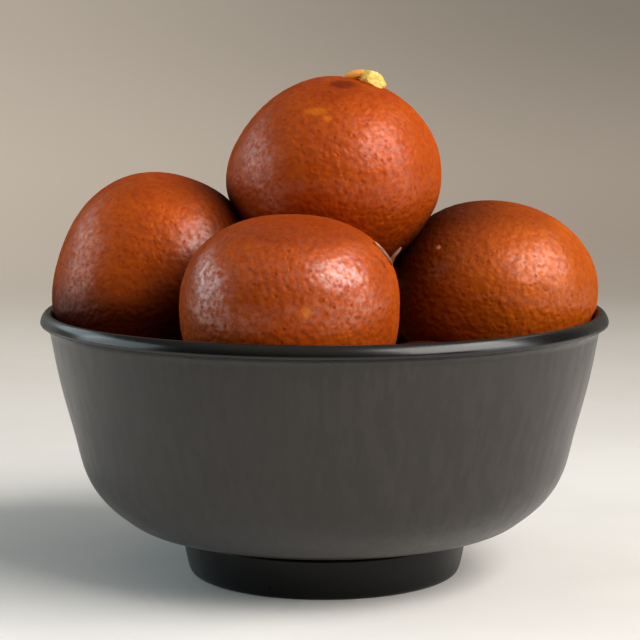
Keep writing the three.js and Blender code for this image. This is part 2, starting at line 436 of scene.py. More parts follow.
def rolled_points(ball, u):
    """The points that the unit directions reach, measured from the dumpling's middle."""
    _, (a, b, c), roll, fullness, top_swell, side_swell, phase = ball
    power = np.where(u[:, 2] < 0, fullness + LOW_FULLNESS, fullness)
    k = (np.hypot(u[:, 0], u[:, 1]) ** power + np.abs(u[:, 2]) ** power) ** (-1 / power)
    x, y, z = a * k * u[:, 0], b * k * u[:, 1], c * k * u[:, 2]
    widen = 1 + top_swell * z / c
    raise_side = 1 + side_swell * x / a
    points = np.stack([x * widen, y * widen, z * raise_side], axis=1)
    points += u * lump(u, phase)[:, None]
    turn = np.array(Matrix.Rotation(math.radians(roll), 3, "Y"))
    return points @ turn.T


def contact_planes(balls, points):
    """Where two dumplings lean on each other both are flattened, half of the overlap each."""
    names = list(balls)
    planes = {name: [] for name in names}
    for i, first in enumerate(names):
        for second in names[:i]:
            direction = np.subtract(balls[second][0], balls[first][0])
            distance = np.linalg.norm(direction)
            direction = direction / distance
            reach_first = (points[first] @ direction).max()
            reach_second = (points[second] @ -direction).max()
            press = (reach_first + reach_second - OVERLAP - distance) / 2
            if press > 0:
                planes[first].append((direction, reach_first - press))
                planes[second].append((-direction, reach_second - press))
    return planes


def pressed_points(ball, points, planes):
    """Flattens the sides that lean on other dumplings and on the wall."""
    for direction, limit in planes:
        along = points @ direction
        points = points + np.outer(rounded_over(along, limit) - along, direction)
    world = points + ball[0]
    radius = np.hypot(world[:, 0], world[:, 1])
    scale = rounded_over(radius, inside_radius(world[:, 2]) - WALL_GAP) / radius
    world[:, :2] *= scale[:, None]
    return world


def wrinkle_height(world, seed, settings):
    """Rounded bumps with fine creases between them, in millimetres, about zero."""
    size = settings.wrinkle_size
    warp = np.stack([lattice_noise(world / (size * WARP_SIZE), seed + k) for k in WARP_SEEDS],
                    axis=1)
    place = world + warp * size * WARP_REACH
    coarse = lattice_noise(place / size, seed + 1)
    fine = lattice_noise(place / (size * FINE_SIZE), seed + 2)
    folds = lattice_noise(place / (size * FOLD_SIZE), seed + 3)
    patches = lattice_noise(world / (size * FOLD_PATCH_SIZE), seed + 4)
    folded = np.clip(patches * FOLD_PATCH_CONTRAST, 0, 1)
    return settings.wrinkle_height * (COARSE_HEIGHT * coarse + FINE_HEIGHT * fine
                                      - FOLD_DEPTH * folded * np.abs(folds))


def surface_normals(points, faces):
    """Unit normal at each point, from the triangles round it."""
    triangles = np.array(faces)
    first, second, third = (points[triangles[:, k]] for k in range(3))
    face_normals = np.cross(second - first, third - first)
    normals = np.zeros_like(points)
    for k in range(3):
        np.add.at(normals, triangles[:, k], face_normals)
    return normals / np.linalg.norm(normals, axis=1)[:, None]


# ---- Nut pieces ----

NUT_CHUNK = {"centre": (9.7, -2.0, 100.1), "radii": (3.1, 2.3, 2.2), "tilt": 30}
NUT_FACETS = [  # direction and distance of each broken face, in the chunk's own frame
    ((0.25, -0.9, 0.3), 1.85), ((-0.85, -0.5, 0.2), 2.45), ((0.5, -0.2, 0.85), 1.8),
    ((-0.3, 0.1, 0.95), 1.75), ((0.95, -0.2, -0.1), 2.6), ((0.2, -0.4, -0.9), 1.75),
    ((-0.95, 0.0, -0.3), 2.75), ((0.0, 1.0, 0.2), 1.9),
]
NUT_SHAVING = {"start": (3.6, -1.6, 100.55), "end": (8.6, -1.6, 101.9), "width": 2.2, "depth": 1.9}
SHOULDER_SPLINTERS = [
    {"start": (9.0, -37.4, 71.0), "end": (12.7, -36.4, 66.3), "width": 1.3, "depth": 1.1},
    {"start": (12.0, -34.6, 66.8), "end": (14.4, -33.7, 69.6), "width": 0.8, "depth": 0.7},
]
CUT_BACK = 0.96  # keeps the fine pieces inside their solids
CHUNK_GROWTH = 1.1  # before its faces are broken off
CHUNK_EDGE = 0.12  # rounding between two broken faces
CRUMB_SIZE, CRUMB_HEIGHT, CRUMB_SEED = 0.6, 0.1, 41
FIBRE_SIZE, FIBRE_HEIGHT, FIBRE_SEED = (0.35, 1.2, 0.35), 0.05, 57
CHUNK_LEVEL = 5
SPLINTER_LEVEL = 4


def nut_chunk():
    """A nut chunk with broken faces and a crumbly surface."""
    u, faces = sphere_directions(CHUNK_LEVEL)
    points = u * NUT_CHUNK["radii"] * CHUNK_GROWTH
    for direction, limit in NUT_FACETS:
        direction = np.array(direction) / np.linalg.norm(direction)
        along = points @ direction
        points += np.outer(rounded_over(along, limit, CHUNK_EDGE) - along, direction)
    crumbs = lattice_noise(points / CRUMB_SIZE, CRUMB_SEED)
    points += u * (CRUMB_HEIGHT * crumbs - CRUMB_HEIGHT / 2)[:, None]
    turn = np.array(Matrix.Rotation(math.radians(NUT_CHUNK["tilt"]), 3, "Y"))
    return points @ turn.T + NUT_CHUNK["centre"], faces


def splinter(start, end, width, depth):
    """A thin fibrous sliver of nut from its start to its end."""
    u, faces = sphere_directions(SPLINTER_LEVEL)
    start, end = Vector(start), Vector(end)
    axis = end - start
    points = u * [size / 2 * CUT_BACK for size in (width, axis.length, depth)]
    points += u * (FIBRE_HEIGHT * lattice_noise(points / FIBRE_SIZE, FIBRE_SEED))[:, None]
    turn = np.array(Vector((0, 1, 0)).rotation_difference(axis).to_matrix())
    return points @ turn.T + (start + end) / 2, faces


# ---- Shader helpers ----

# Noises: scale, detail, roughness.
NOISES = {
    "pore_patch": (330.0, 1.0), "uneven": (130.0, 3.0, 0.6), "ragged": (900.0, 2.0, 0.6),
    "streak": (1.0, 3.0, 0.6), "sheen_cloud": (32.0, 2.0, 0.5), "speck": (2600.0, 1.0, 0.5),
    "crumb": (1900.0, 3.0, 0.6), "blot": (520.0, 2.0, 0.5),
    "floor_cloud": (14.0, 3.0, 0.55), "floor_grain": (220.0, 4.0, 0.6),
}
# Smooth ramps: a reading, another reading, the result at the first and at the second. Where
# the results are left out, they run from 0 to 1 or are given where the ramp is used.
RAMPS = {
    "pore": (0.12, 0.34, 1.0, 0.0), "pore_patch": (0.32, 0.55), "pit": (0.54, 0.36),
    "skin_over_pit": (0.25, 0.5, 0.45, 1.0), "crest": (0.48, 0.78, 0.0, 0.8),
    "bead": (0.33, 0.67, 0.15, 1.0), "wet_patch": (0.3, 0.6, 0.85, 1.0),
    "skin_roughness": (0.3, 0.7, 0.5, 0.42), "crown": (0.82, 1.02),
    "dry_crown": (0.95, 0.55, 0.4, 1.0), "mark": (1.5, 0.8),
    "dull_edge": (0.5, 0.95, 0.0, 0.4), "coat_edge": (0.8, 0.4),
    "streak": (0.42, 0.6), "streak_cloud": (0.3, 0.7, 0.5, 1.0),
    "satin": (0.35, 0.7, 0.33, 0.28), "satin_cloud": (0.3, 0.7, 0.0, 0.05), "lip_edge": (0.55, 0.9),
    "crumb": (0.55, 0.3), "nut_roughness": (0.3, 0.7, 0.42, 0.3),
    "backdrop": (-0.12, 0.65), "shade": (-0.3, 0.25), "dusk": (0.7, 0.95),
    "floor_cloud": (0.35, 0.65), "floor_roughness": (0.3, 0.7, 0.62, 0.72),
}
# Reliefs: strength and depth of the bump.
RELIEFS = {"skin": (0.9, 0.00042), "lacquer": (0.25, 0.00008), "nut": (0.6, 0.00012),
           "floor": (0.1, 0.0002)}
BLACK = (0.0, 0.0, 0.0, 1.0)
# What is the same all over a finish, on the shader's own sockets.
SKIN_FINISH = {
    "Metallic": 0.15, "Specular IOR Level": 0.1, "Coat Roughness": 0.29, "Coat IOR": 1.65,
    "Subsurface Weight": 0.12, "Subsurface Radius": (1.0, 0.28, 0.08), "Subsurface Scale": 0.002,
}
NUT_FINISH = {
    "Subsurface Weight": 0.25, "Subsurface Radius": (1.0, 0.6, 0.2), "Subsurface Scale": 0.001,
}


class Graph:
    """Adds and joins the nodes of one material or node group."""

    def __init__(self, tree):
        self.tree = tree

    def add(self, kind, settings=None, **inputs):
        """Adds a node; an input is named with underscores, or _0, _1 and so on by its place."""
        node = self.tree.nodes.new(kind)
        for name, value in (settings or {}).items():
            setattr(node, name, value)
        for name, value in inputs.items():
            self.feed(node, name, value)
        return node

    def feed(self, node, name, value):
        """Links an output to an input, or sets the input's own value."""
        key = int(name[1:]) if name[0] == "_" and name[1:].isdigit() else name.replace("_", " ")
        socket = node.inputs[key]
        if isinstance(value, bpy.types.NodeSocket):
            self.tree.links.new(value, socket)
        else:
            socket.default_value = value

    def maths(self, operation, a, b=0.0):
        return self.add("ShaderNodeMath", {"operation": operation}, _0=a, _1=b).outputs[0]

    def times(self, a, b):
        return self.maths("MULTIPLY", a, b)

    def plus(self, a, b):
        return self.maths("ADD", a, b)

    def minus(self, a, b):
        return self.maths("SUBTRACT", a, b)

    def vector(self, operation, *inputs):
        """Vector maths; a length and a dot product come out as a value."""
        node = self.add("ShaderNodeVectorMath", {"operation": operation})
        for i, value in enumerate(inputs):
            self.feed(node, f"_{i}", value)
        return node.outputs["Value" if operation in ("LENGTH", "DOT_PRODUCT") else "Vector"]

    def place(self):
        """The point of the surface, in the object's own frame."""
        return self.add("ShaderNodeTexCoord").outputs["Object"]

    def parts(self, vector):
        return self.add("ShaderNodeSeparateXYZ", None, Vector=vector).outputs

    def edge(self):
        """How far the surface turns away; it is used for gloss alone."""
        return self.add("ShaderNodeLayerWeight", None, Blend=0.5).outputs["Facing"]

    def spread(self, value, low, high, to_low=0.0, to_high=1.0):
        """A smooth ramp between two readings of a value."""
        node = self.add("ShaderNodeMapRange", {"interpolation_type": "SMOOTHSTEP"}, Value=value,
                        From_Min=low, From_Max=high, To_Min=to_low, To_Max=to_high)
        return node.outputs["Result"]

    def ramp(self, value, name, *results):
        """A ramp from the table, with the results that the table leaves out."""
        return self.spread(value, *RAMPS[name], *results)

    def mix(self, factor, a, b):
        node = self.add("ShaderNodeMix", {"data_type": "RGBA"}, _0=factor, _6=a, _7=b)
        return node.outputs[2]

    def noise(self, vector, scale, detail=2.0, roughness=0.5):
        node = self.add("ShaderNodeTexNoise", None, Vector=vector, Scale=scale, Detail=detail,
                        Roughness=roughness)
        return node.outputs["Fac"]

    def bump(self, height, relief):
        strength, depth = RELIEFS[relief]
        return self.add("ShaderNodeBump", None, Strength=strength, Distance=depth,
                        Height=height).outputs[0]

    def group(self, tree, **inputs):
        return self.add("ShaderNodeGroup", {"node_tree": tree}, **inputs).outputs


def new_material(name, finish=None):
    """An empty material with its shader joined to the output."""
    old = bpy.data.materials.get(name)
    if old is not None:
        bpy.data.materials.remove(old)
    material = bpy.data.materials.new(name)
    material.use_nodes = True
    material.node_tree.nodes.clear()
    graph = Graph(material.node_tree)
    shader = graph.add("ShaderNodeBsdfPrincipled")
    output = graph.add("ShaderNodeOutputMaterial")
    graph.tree.links.new(shader.outputs["BSDF"], output.inputs["Surface"])
    for socket, value in (finish or {}).items():
        shader.inputs[socket].default_value = value
    return material, graph, shader


def new_group(name, inputs, outputs):
    """An empty node group with named sockets: (name, kind, default) in and (name, kind) out."""
    tree = bpy.data.node_groups.new(name, "ShaderNodeTree")
    for label, kind, default in inputs:
        socket = tree.interface.new_socket(label, in_out="INPUT", socket_type="NodeSocket" + kind)
        socket.default_value = default
    for label, kind in outputs:
        tree.interface.new_socket(label, in_out="OUTPUT", socket_type="NodeSocket" + kind)
    graph = Graph(tree)
    return tree, graph, graph.add("NodeGroupInput").outputs, graph.add("NodeGroupOutput")


def rgba(colour, scale=1.0):
    """A colour with full alpha, made darker or lighter by the scale."""
    return (*(min(channel * scale, 1.0) for channel in colour), 1.0)


# ---- Fried skin ----

PATCH_SCALE = 95.0
MOTTLE_FINENESS = 3.4  # against the patches
FINE_GRAIN = 0.8  # scale of the grain and the pores against the pebbles
BEAD_FINENESS = 1.1  # scale of the beads of syrup against the pebbles
GRAIN_DETAIL, PATCH_DETAIL, BEAD_DETAIL = (1.0, 0.45), (3.0, 0.55), (2.0, 0.6)
BEND_SCALE, BEND_REACH = 420.0, 0.0009
PEBBLE_SMOOTHNESS = 0.55
PEBBLE_RELIEF, GRAIN_RELIEF, PORE_RELIEF = 0.3, 0.63, 0.14
PATCH_SHARE, MOTTLE_SHARE = 0.55, 0.45
PIT_TINT, PORE_TINT = 0.3, 0.5
PORE_DRYNESS = 0.8


def skin_group():
    """Fried skin: fine pebbles between creases, with darker pits and lighter crests."""
    name = "fried_skin"
    if name in bpy.data.node_groups:
        return bpy.data.node_groups[name]
    tree, g, given, out = new_group(
        name,
        [("Grain Scale", "Float", 0.0), ("Patch Scale", "Float", PATCH_SCALE),
         ("Shift", "Float", 0.0), ("Pit Color", "Color", BLACK), ("Skin Color", "Color", BLACK),
         ("Crest Color", "Color", BLACK)],
        [("Color", "Color"), ("Roughness", "Float"), ("Height", "Float"), ("Wet", "Float")])
    shift = g.add("ShaderNodeCombineXYZ", None, X=given["Shift"], Y=given["Shift"]).outputs[0]
    place = g.vector("ADD", g.place(), shift)
    bend = g.add("ShaderNodeTexNoise", None, Vector=place, Scale=BEND_SCALE, Detail=1.0)
    pull = g.vector("MULTIPLY_ADD", bend.outputs["Color"], (BEND_REACH,) * 3, place)
    cells = g.add("ShaderNodeTexVoronoi", {"feature": "SMOOTH_F1"}, Vector=pull,
                  Scale=given["Grain Scale"], Smoothness=PEBBLE_SMOOTHNESS)
    pebble = g.minus(1.0, cells.outputs["Distance"])
    fine_scale = g.times(given["Grain Scale"], FINE_GRAIN)
    grain = g.noise(place, fine_scale, *GRAIN_DETAIL)
    pores = g.add("ShaderNodeTexVoronoi", {"feature": "F1"}, Vector=pull, Scale=fine_scale)
    pore = g.times(g.ramp(pores.outputs["Distance"], "pore"),
                   g.ramp(g.noise(place, *NOISES["pore_patch"]), "pore_patch"))
    height = g.plus(g.times(pebble, PEBBLE_RELIEF), g.times(grain, GRAIN_RELIEF))
    height = g.minus(height, g.times(pore, PORE_RELIEF))
    patches = g.noise(place, given["Patch Scale"], *PATCH_DETAIL)
    mottle = g.noise(place, g.times(given["Patch Scale"], MOTTLE_FINENESS), *PATCH_DETAIL)
    tone = g.plus(g.times(patches, PATCH_SHARE), g.times(mottle, MOTTLE_SHARE))
    colour = g.mix(g.ramp(tone, "skin_over_pit"), given["Pit Color"], given["Skin Color"])
    colour = g.mix(g.ramp(tone, "crest"), colour, given["Crest Color"])
    # Darker in the low places of the relief and in the pores: partly the crust's own darker brown,
    # partly painted shade in the hollows.
    pit = g.maths("MAXIMUM", g.times(g.ramp(height, "pit"), PIT_TINT), g.times(pore, PORE_TINT))
    bead = g.noise(place, g.times(given["Grain Scale"], BEAD_FINENESS), *BEAD_DETAIL)
    wet = g.times(g.ramp(bead, "bead"), g.ramp(patches, "wet_patch"))
    wet = g.times(wet, g.minus(1.0, g.times(pore, PORE_DRYNESS)))
    g.feed(out, "Color", g.mix(pit, colour, given["Pit Color"]))
    g.feed(out, "Roughness", g.ramp(mottle, "skin_roughness"))
    g.feed(out, "Height", height)
    g.feed(out, "Wet", wet)
    return tree


# Small marks on the skin: (middle, radii) in millimetres, colour and strength.
CARDAMOM = (0.66, 0.155, 0.003)
# Painted shadow of the nut pieces on the skin: beside the splinters on the front dumpling and under
# the shaving on the top one.
NUT_SHADOW_PAINT = (0.11, 0.007, 0.001)
MARKS = {
    "jamun_front": [
        ((-3.4, -53.3, 59.6), (1.1, 1.6, 1.5), CARDAMOM, 0.9),
        ((8.9, -42.0, 70.0), (0.9, 1.2, 0.9), NUT_SHADOW_PAINT, 0.45),
        ((10.1, -41.6, 68.8), (1.0, 1.2, 0.9), NUT_SHADOW_PAINT, 0.8),
        ((10.7, -41.4, 67.9), (1.0, 1.2, 1.1), NUT_SHADOW_PAINT, 0.45),
        ((11.3, -41.2, 67.0), (0.9, 1.2, 1.1), NUT_SHADOW_PAINT, 0.85),
        ((12.2, -40.8, 66.1), (0.9, 1.2, 0.8), NUT_SHADOW_PAINT, 0.6),
    ],
    "jamun_top": [
        ((-1.8, -14.1, 94.3), (3.2, 2.2, 1.1), CARDAMOM, 0.75),
        ((0.6, -15.8, 93.0), (1.1, 1.4, 0.9), CARDAMOM, 0.75),
        ((3.6, -6.5, 99.4), (3.4, 4.5, 1.2), NUT_SHADOW_PAINT, 0.7),
    ],
    "jamun_right": [((22.6, -12.2, 67.4), (0.6, 0.8, 0.6), (0.75, 0.3, 0.16), 0.8)],
}
MARK_RAGGEDNESS = 0.8

# Darkening as shares of the pit colour: at the crown and the lower part it is partly browning and
# soaking, partly painted shade; near other dumplings it is painted shade.
CROWN_SHADE, SOAKED_SHADE, GAP_SHADE = 0.7, 0.25, 0.15  # of the pit colour
GAP_DARKNESS = 0.97
UNEVENNESS = 0.006
# Heights below are counted in the dumpling's radii, from its middle.
SOAK_TOP = 0.35
ASIDE_LIFT = 0.35  # the shine reaches lower towards the sides
DRY_RISE, DRY_DROP = 0.4, 0.3  # soaking raises the height where the shine begins
SHINE_BAND, LEAST_SHINE = 0.4, 0.05
COAT_STRENGTH = 0.65
BLUE_LEAN = 1.5  # blue follows the warmth more strongly than green


def browned_and_shaded(g, colour, ball, brown, crown, soak, soak_depth):
    """Darkens the crown and the lower part, partly as browning and soaking and partly as painted
    shade where the light falls off; also gives how much each place shines.
    """
    middle, radii = ball[:2]
    place = g.place()
    parts = g.parts(place)
    uneven = g.times(g.noise(place, *NOISES["uneven"]), UNEVENNESS)
    rise = g.plus(g.minus(parts["Z"], middle[2] * MM), uneven)
    rise = g.maths("DIVIDE", rise, radii[2] * MM)
    colour = g.mix(g.ramp(rise, "crown", 0.0, crown), colour, rgba(brown[:3], CROWN_SHADE))
    colour = g.mix(g.spread(rise, SOAK_TOP, SOAK_TOP - soak_depth, 0.0, soak), colour,
                   rgba(brown[:3], SOAKED_SHADE))
    aside = g.maths("DIVIDE", g.minus(parts["X"], middle[0] * MM), radii[0] * MM)
    lift = g.times(g.maths("ABSOLUTE", aside), ASIDE_LIFT)
    shine_from = DRY_RISE * soak - DRY_DROP
    shine = g.spread(g.plus(rise, lift), shine_from, shine_from + SHINE_BAND, LEAST_SHINE, 1.0)
    return colour, g.times(shine, g.ramp(rise, "dry_crown"))


def radii_away(g, place, middle, radii):
    """How far a place is from a middle, counted in radii."""
    away = g.vector("SUBTRACT", place, tuple(c * MM for c in middle))
    return g.vector("LENGTH", g.vector("DIVIDE", away, tuple(r * MM for r in radii)))


def painted_contact_shade(g, colour, brown, neighbours, reach):
    """Paints shade on the skin close to the dumplings that lean on this one, where they shadow it.
    """
    place = g.place()
    for middle, radii in neighbours:
        gap = g.spread(radii_away(g, place, middle, radii), reach, 1.0, 0.0, GAP_DARKNESS)
        colour = g.mix(gap, colour, rgba(brown[:3], GAP_SHADE))
    return colour


def with_marks(g, colour, marks):
    """Paints soft-edged marks over a colour; some of them are painted shadow of the nut pieces."""
    place = g.place()
    ragged = g.times(g.noise(place, *NOISES["ragged"]), MARK_RAGGEDNESS)
    for middle, radii, paint, strength in marks:
        away = g.plus(radii_away(g, place, middle, radii), ragged)
        colour = g.mix(g.ramp(away, "mark", 0.0, strength), colour, rgba(paint))
    return colour


def skin_material(name, settings, ball, neighbours, tone, marks):
    """Syrup-moist fried skin, darker at the crown and below (partly browning and soaking, partly
    painted shade), with painted shade near the other dumplings.
    """
    shift, warmth, lightness, crown, soak, soak_depth, moisture, gap_reach = tone
    material, g, shader = new_material(name, SKIN_FINISH)
    lean = (lightness, lightness * warmth, lightness * warmth ** BLUE_LEAN)
    pit, skin, crest = (rgba([c * k for c, k in zip(colour, lean)]) for colour in (
        settings.dark_colour, settings.mid_colour, settings.light_colour))
    fried = g.group(skin_group(), Grain_Scale=1.0 / (settings.grain_size * MM),
                    Patch_Scale=PATCH_SCALE, Shift=shift, Pit_Color=pit, Skin_Color=skin,
                    Crest_Color=crest)
    colour, shine = browned_and_shaded(g, fried["Color"], ball, pit, crown, soak, soak_depth)
    colour = painted_contact_shade(g, colour, pit, neighbours, gap_reach)
    g.feed(shader, "Base Color", with_marks(g, colour, marks))
    edge = g.edge()
    g.feed(shader, "Roughness", g.plus(fried["Roughness"], g.ramp(edge, "dull_edge")))
    g.feed(shader, "Normal", g.bump(fried["Height"], "skin"))
    wet = g.times(fried["Wet"], shine)
    coat = g.ramp(edge, "coat_edge", 0.0, COAT_STRENGTH * moisture)
    g.feed(shader, "Coat Weight", g.times(wet, coat))
    return material


# ---- Satin lacquer ----

UPRIGHT_SCALE, ACROSS_SCALE = 60.0, 420.0
STREAK_RELIEF, SPECK_RELIEF = 0.7, 0.3
GLOSS_SMOOTHING = 0.75
GLOSS_EDGE = 0.8
GLOSS_COAT, GLOSS_COAT_ROUGHNESS = 0.2, 0.08


def streak_group():
    """Faint upright streaks and fine brush marks of a turned and lacquered wall."""
    name = "lacquer_streaks"
    if name in bpy.data.node_groups:
        return bpy.data.node_groups[name]
    tree, g, given, out = new_group(
        name,
        [("Base Color", "Color", BLACK), ("Streak Color", "Color", BLACK),
         ("Streak Amount", "Float", 0.0), ("Upright Scale", "Float", UPRIGHT_SCALE),
         ("Across Scale", "Float", ACROSS_SCALE)],
        [("Color", "Color"), ("Roughness", "Float"), ("Height", "Float")])
    place = g.place()
    parts = g.parts(place)
    scales = {"X": "Across Scale", "Y": "Across Scale", "Z": "Upright Scale"}
    stretched = g.add("ShaderNodeCombineXYZ", None, **{
        axis: g.times(parts[axis], given[scale]) for axis, scale in scales.items()})
    streak = g.noise(stretched.outputs[0], *NOISES["streak"])
    cloud = g.noise(place, *NOISES["sheen_cloud"])
    speck = g.noise(place, *NOISES["speck"])
    amount = g.times(g.ramp(streak, "streak"), given["Streak Amount"])
    amount = g.times(amount, g.ramp(cloud, "streak_cloud"))
    g.feed(out, "Color", g.mix(amount, given["Base Color"], given["Streak Color"]))
    g.feed(out, "Roughness", g.plus(g.ramp(streak, "satin"), g.ramp(cloud, "satin_cloud")))
    g.feed(out, "Height", g.plus(g.times(streak, STREAK_RELIEF), g.times(speck, SPECK_RELIEF)))
    return tree


def lacquer_material(name, base, streak, amount, gloss, shine):
    """Satin lacquer of the bowl; gloss lowers the roughness and adds a clear coat."""
    material, g, shader = new_material(name, {
        "Specular IOR Level": shine, "Coat Weight": GLOSS_COAT * gloss,
        "Coat Roughness": GLOSS_COAT_ROUGHNESS})
    lacquer = g.group(streak_group(), Base_Color=rgba(base), Streak_Color=rgba(streak),
                      Streak_Amount=amount)
    g.feed(shader, "Base Color", lacquer["Color"])
    rough = g.times(lacquer["Roughness"], 1.0 - GLOSS_SMOOTHING * gloss)
    dull = g.ramp(g.edge(), "lip_edge", 0.0, GLOSS_EDGE * gloss)
    g.feed(shader, "Roughness", g.plus(rough, dull))
    g.feed(shader, "Normal", g.bump(lacquer["Height"], "lacquer"))
    return material


# ---- Nut flesh ----

BLOT_REACH = 0.001
CRUMB_TINT = 0.45
# Direction in which the edge colour gives way to the main one, from here to there along it. On the
# chunk and the shaving the edge colour is painted shade on the side away from the light; on the
# splinters it is their paler tip.
SHADE_AND_TIP_SWEEPS = {
    "nut_flesh": ((0.8, 0.0, 0.6), 66.5, 67.5),
    "nut_shaving": ((-0.3, 0.0, 1.0), 99.6, 100.4),
    "nut_stick": ((1.0, 0.0, 0.0), 9.8, 12.0),
}


def nut_material(name, main, edge):
    """Waxy nut flesh; the edge colour gives way to the main one along a direction. On the chunk and
    the shaving the edge colour is painted shade; on the splinters it is a paler tip.
    """
    material, g, shader = new_material(name, NUT_FINISH)
    direction, low, high = SHADE_AND_TIP_SWEEPS[name]
    place = g.place()
    crumb = g.noise(place, *NOISES["crumb"])
    blot = g.times(g.noise(place, *NOISES["blot"]), BLOT_REACH)
    along = g.plus(g.vector("DOT_PRODUCT", place, direction), blot)
    colour = g.mix(g.spread(along, low * MM, high * MM), rgba(edge), rgba(main))
    tint = g.times(g.ramp(crumb, "crumb"), CRUMB_TINT)
    g.feed(shader, "Base Color", g.mix(tint, colour, rgba(edge)))
    g.feed(shader, "Roughness", g.ramp(crumb, "nut_roughness"))
    g.feed(shader, "Normal", g.bump(crumb, "nut"))
    return material


# ---- Operators ----


class BuildBowl(bpy.types.Operator):
    """Turn the bowl's wall, bead lip and foot, and give them their satin finish"""

    bl_idname = "jamun.build_bowl"
    bl_label = "Bowl"

    def execute(self, context):
        settings = bowl_settings()
        finishes = [
            lacquer_material("wall_lacquer", settings.wall_colour, settings.streak_colour,
                             amount=0.7, gloss=0.0, shine=0.56),
            lacquer_material("lip_lacquer", settings.lip_colour, settings.wall_colour,
                             amount=0.2, gloss=0.42, shine=0.42),
            lacquer_material("foot_lacquer", settings.foot_colour, settings.lip_colour,
                             amount=0.25, gloss=0.1, shine=0.2),
        ]
        points, faces, slots = turned_mesh(bowl_profile(settings), settings.segments)
        if len(faces) < settings.segments:
            raise RuntimeError("the bowl's profile is empty")
        bowl = new_object("satin_bowl", points, faces, finishes, slots)
        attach(bowl, "root")
        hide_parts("bowl")
        return {"FINISHED"}


class BuildDumplings(bpy.types.Operator):
    """Roll the dumplings, press them against each other and wrinkle their skin"""

    bl_idname = "jamun.build_dumplings"
    bl_label = "Dumplings"

    # Shift of the grain, warmth, lightness, darkening of the crown (browning and painted shade),
    # darkening below (soaking and painted shade), depth over which that darkening grows, moisture,
    # and the neighbour's radii at which its painted shade begins.
    TONES = {
        "jamun_left": (0.31, 1.02, 1.26, 0.5, 1.0, 0.5, 0.95, 1.75),
        "jamun_front": (0.77, 0.98, 1.1, 0.5, 0.85, 1.3, 2.3, 1.15),
        "jamun_right": (1.23, 1.16, 1.16, 0.5, 0.0, 0.9, 0.95, 1.92),
        "jamun_top": (1.69, 0.95, 1.15, 0.4, 0.25, 0.9, 0.85, 1.3),
        "jamun_back": (2.15, 1.0, 1.0, 0.7, 0.6, 0.9, 0.8, 1.3),
    }
    # The lower layer sits deep in the heap and is painted nearly black: painted shade.
    UNDER_SHADE_TONE = (2.61, 0.7, 0.1, 0.0, 0.0, 0.9, 0.1, 1.1)

    def execute(self, context):
        settings = context.scene.jamun_dumplings
        grids = {level: sphere_directions(level) for level in (FINE_LEVEL, UNDER_LEVEL)}
        levels = {name: FINE_LEVEL if name in UPPER else UNDER_LEVEL for name in DUMPLINGS}
        rolled = {name: rolled_points(ball, grids[levels[name]][0])
                  for name, ball in DUMPLINGS.items()}
        planes = contact_planes(DUMPLINGS, rolled)
        for seed, (name, ball) in enumerate(DUMPLINGS.items()):
            faces = grids[levels[name]][1]
            world = pressed_points(ball, rolled[name], planes[name])
            normals = surface_normals(world, faces)
            world = world + normals * wrinkle_height(world, SEED_STEP * seed, settings)[:, None]
            tone = self.TONES.get(name, self.UNDER_SHADE_TONE)
            near = [DUMPLINGS[other][:2] for other in UPPER if other != name]
            skin = skin_material("fried_skin_" + name, settings, ball, near, tone,
                                 MARKS.get(name, ()))
            dumpling = new_object("fried_" + name, world, faces, [skin])
            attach(dumpling, "root")
            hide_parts(name)
        return {"FINISHED"}


class BuildNuts(bpy.types.Operator):
    """Set the nut chunk on the top dumpling and the splinters on the front one"""

    bl_idname = "jamun.build_nuts"
    bl_label = "Nut pieces"

    def execute(self, context):
        settings = context.scene.jamun_nuts
        flesh = nut_material("nut_flesh", settings.flesh_colour, settings.shade_and_crumb_colour)
        shaving = nut_material("nut_shaving", settings.shaving_colour, settings.shade_and_crumb_colour)
        stick = nut_material("nut_stick", settings.splinter_colour, settings.splinter_tip_colour)
        pieces = {"nut_chunk": (nut_chunk(), flesh, "jamun_top"),
                  "nut_shaving": (splinter(**NUT_SHAVING), shaving, "jamun_top")}
        for i, place in enumerate(SHOULDER_SPLINTERS, 1):
            pieces[f"nut_splinter_{i}"] = (splinter(**place), stick, "jamun_front")
        for name, ((points, faces), material, node) in pieces.items():
            piece = new_object(name, points, faces, [material])
            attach(piece, "root")
            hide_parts(node)
        return {"FINISHED"}


